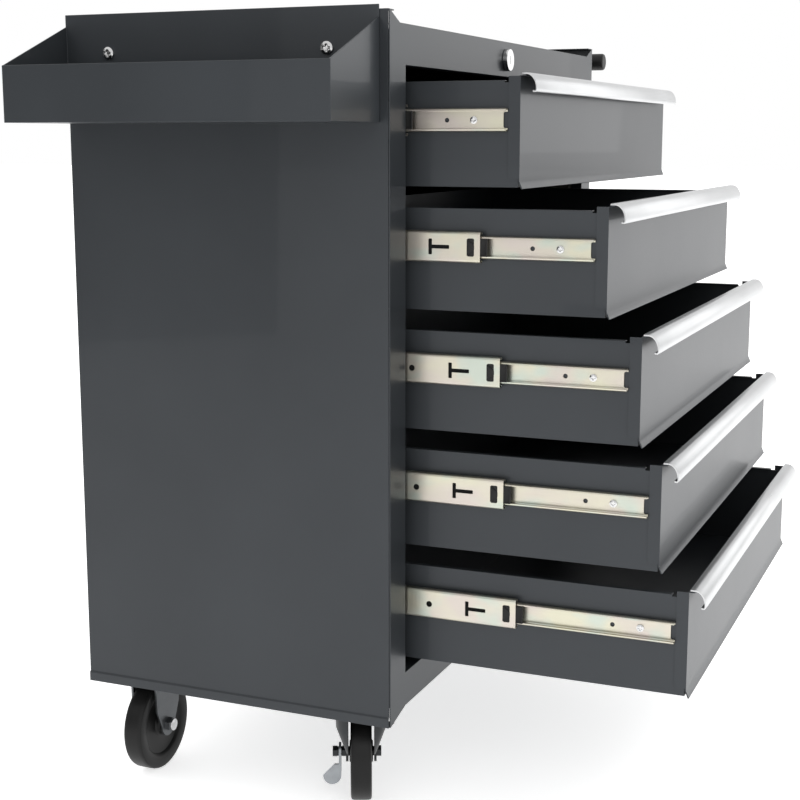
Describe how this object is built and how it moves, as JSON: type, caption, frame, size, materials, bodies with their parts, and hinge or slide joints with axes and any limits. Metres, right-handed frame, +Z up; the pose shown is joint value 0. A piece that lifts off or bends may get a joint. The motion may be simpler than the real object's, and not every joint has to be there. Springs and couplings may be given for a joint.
{
  "type": "rolling tool chest",
  "caption": "Upright steel tool chest on casters with stacked ball-bearing drawers, full-width bright pulls, a side tray, a push handle and a keyed lock.",
  "frame": {"origin": "on the floor, under the centre of the outer box with the drawers standing open as stored", "axes": "+X to the chest's right seen from the front, from the side tray towards the push handle; +Y to the rear, so drawers open towards -Y; +Z up"},
  "size_m": [0.85, 0.646, 0.804],
  "materials": {
    "powder_coat": "semi-gloss dark grey powder coat",
    "tray_coat": "semi-gloss dark grey powder coat, a little lighter",
    "black_tube": "satin black coat",
    "zinc_plate": "zinc plate with a faint yellow tint",
    "aluminium": "bright extruded aluminium",
    "chrome": "polished",
    "black_rubber": "satin black"
  },
  "bodies": {
    "cabinet": {"left_side_panel": "powder_coat", "right_side_panel": "powder_coat", "front_frame": "powder_coat", "top_pan": "powder_coat", "base_pan": "powder_coat", "back_panel": "powder_coat", "side_tray": "tray_coat", "push_handle": "black_tube", "left_slide_rack": "zinc_plate", "right_slide_rack": "zinc_plate", "rear_left_caster_bracket": "zinc_plate", "front_left_caster_plate": "zinc_plate", "rear_right_caster_bracket": "zinc_plate", "front_right_caster_plate": "zinc_plate"},
    "drawer_1": {"drawer_1_box": "powder_coat", "drawer_1_front": "powder_coat", "drawer_1_pull": "aluminium", "drawer_1_left_inner_slide": "zinc_plate", "drawer_1_right_inner_slide": "zinc_plate"},
    "drawer_1_carriages": {"drawer_1_left_middle_slide": "zinc_plate", "drawer_1_right_middle_slide": "zinc_plate"},
    "drawer_2": {"drawer_2_box": "powder_coat", "drawer_2_front": "powder_coat", "drawer_2_pull": "aluminium", "drawer_2_left_inner_slide": "zinc_plate", "drawer_2_right_inner_slide": "zinc_plate"},
    "drawer_2_carriages": {"drawer_2_left_middle_slide": "zinc_plate", "drawer_2_right_middle_slide": "zinc_plate"},
    "drawer_3": {"drawer_3_box": "powder_coat", "drawer_3_front": "powder_coat", "drawer_3_pull": "aluminium", "drawer_3_left_inner_slide": "zinc_plate", "drawer_3_right_inner_slide": "zinc_plate"},
    "drawer_3_carriages": {"drawer_3_left_middle_slide": "zinc_plate", "drawer_3_right_middle_slide": "zinc_plate"},
    "drawer_4": {"drawer_4_box": "powder_coat", "drawer_4_front": "powder_coat", "drawer_4_pull": "aluminium", "drawer_4_left_inner_slide": "zinc_plate", "drawer_4_right_inner_slide": "zinc_plate"},
    "drawer_4_carriages": {"drawer_4_left_middle_slide": "zinc_plate", "drawer_4_right_middle_slide": "zinc_plate"},
    "drawer_5": {"drawer_5_box": "powder_coat", "drawer_5_front": "powder_coat", "drawer_5_pull": "aluminium", "drawer_5_left_inner_slide": "zinc_plate", "drawer_5_right_inner_slide": "zinc_plate"},
    "drawer_5_carriages": {"drawer_5_left_middle_slide": "zinc_plate", "drawer_5_right_middle_slide": "zinc_plate"},
    "rear_left_wheel": {"rear_left_caster_wheel": "black_rubber"},
    "front_left_fork": {"front_left_caster_fork": "zinc_plate"},
    "front_left_wheel": {"front_left_caster_wheel": "black_rubber"},
    "front_left_brake": {"front_left_caster_brake": "zinc_plate"},
    "rear_right_wheel": {"rear_right_caster_wheel": "black_rubber"},
    "front_right_fork": {"front_right_caster_fork": "zinc_plate"},
    "front_right_wheel": {"front_right_caster_wheel": "black_rubber"},
    "front_right_brake": {"front_right_caster_brake": "zinc_plate"},
    "lock": {"lock_cylinder": "chrome", "lock_rod": "zinc_plate"},
    "lock_bar": {"lock_bar": "zinc_plate"}
  },
  "joints": [
    {"name": "drawer_1_slide", "type": "slide", "parent": "cabinet", "child": "drawer_1", "axis": [0, -1, 0], "range_m": [-0.109, 0.187]},
    {"name": "drawer_1_carriage_slide", "type": "slide", "parent": "cabinet", "child": "drawer_1_carriages", "axis": [0, -1, 0], "range_m": [-0.0545, 0.0935]},
    {"name": "drawer_2_slide", "type": "slide", "parent": "cabinet", "child": "drawer_2", "axis": [0, -1, 0], "range_m": [-0.195, 0.101]},
    {"name": "drawer_2_carriage_slide", "type": "slide", "parent": "cabinet", "child": "drawer_2_carriages", "axis": [0, -1, 0], "range_m": [-0.0975, 0.0505]},
    {"name": "drawer_3_slide", "type": "slide", "parent": "cabinet", "child": "drawer_3", "axis": [0, -1, 0], "range_m": [-0.229, 0.067]},
    {"name": "drawer_3_carriage_slide", "type": "slide", "parent": "cabinet", "child": "drawer_3_carriages", "axis": [0, -1, 0], "range_m": [-0.1145, 0.0335]},
    {"name": "drawer_4_slide", "type": "slide", "parent": "cabinet", "child": "drawer_4", "axis": [0, -1, 0], "range_m": [-0.251, 0.045]},
    {"name": "drawer_4_carriage_slide", "type": "slide", "parent": "cabinet", "child": "drawer_4_carriages", "axis": [0, -1, 0], "range_m": [-0.1255, 0.0225]},
    {"name": "drawer_5_slide", "type": "slide", "parent": "cabinet", "child": "drawer_5", "axis": [0, -1, 0], "range_m": [-0.28, 0.016]},
    {"name": "drawer_5_carriage_slide", "type": "slide", "parent": "cabinet", "child": "drawer_5_carriages", "axis": [0, -1, 0], "range_m": [-0.14, 0.008]},
    {"name": "rear_left_wheel_spin", "type": "hinge", "parent": "cabinet", "child": "rear_left_wheel", "pos_m": [-0.266, 0.276, 0.05], "axis": [0, 1, 0], "continuous": true},
    {"name": "front_left_swivel", "type": "hinge", "parent": "cabinet", "child": "front_left_fork", "pos_m": [-0.274, 0.025, 0.11], "axis": [0, 0, 1], "continuous": true},
    {"name": "front_left_wheel_spin", "type": "hinge", "parent": "front_left_fork", "child": "front_left_wheel", "pos_m": [-0.25207, 0.03476, 0.05], "axis": [-0.4067, 0.9135, 0], "continuous": true},
    {"name": "front_left_brake_pivot", "type": "hinge", "parent": "front_left_fork", "child": "front_left_brake", "pos_m": [-0.25207, 0.03476, 0.05], "axis": [-0.4067, 0.9135, 0], "range_deg": [0, 20]},
    {"name": "rear_right_wheel_spin", "type": "hinge", "parent": "cabinet", "child": "rear_right_wheel", "pos_m": [0.316, 0.276, 0.05], "axis": [0, 1, 0], "continuous": true},
    {"name": "front_right_swivel", "type": "hinge", "parent": "cabinet", "child": "front_right_fork", "pos_m": [0.324, 0.025, 0.11], "axis": [0, 0, 1], "continuous": true},
    {"name": "front_right_wheel_spin", "type": "hinge", "parent": "front_right_fork", "child": "front_right_wheel", "pos_m": [0.34593, 0.03476, 0.05], "axis": [-0.4067, 0.9135, 0], "continuous": true},
    {"name": "front_right_brake_pivot", "type": "hinge", "parent": "front_right_fork", "child": "front_right_brake", "pos_m": [0.34593, 0.03476, 0.05], "axis": [-0.4067, 0.9135, 0], "range_deg": [0, 20]},
    {"name": "lock_bar_slide", "type": "slide", "parent": "cabinet", "child": "lock_bar", "axis": [0, 0, -1], "range_m": [0, 0.0113]},
    {"name": "lock_turn", "type": "hinge", "parent": "cabinet", "child": "lock", "pos_m": [0.011, -0.027, 0.769], "axis": [0, 1, 0], "range_deg": [0, 90]}
  ],
  "couplings": [
    {"joint": "drawer_1_carriage_slide", "follows": "drawer_1_slide", "ratio": 0.5},
    {"joint": "drawer_2_carriage_slide", "follows": "drawer_2_slide", "ratio": 0.5},
    {"joint": "drawer_3_carriage_slide", "follows": "drawer_3_slide", "ratio": 0.5},
    {"joint": "drawer_4_carriage_slide", "follows": "drawer_4_slide", "ratio": 0.5},
    {"joint": "drawer_5_carriage_slide", "follows": "drawer_5_slide", "ratio": 0.5},
    {"joint": "lock_turn", "follows": "lock_bar_slide", "rad_per_m": 138.8}
  ]
}
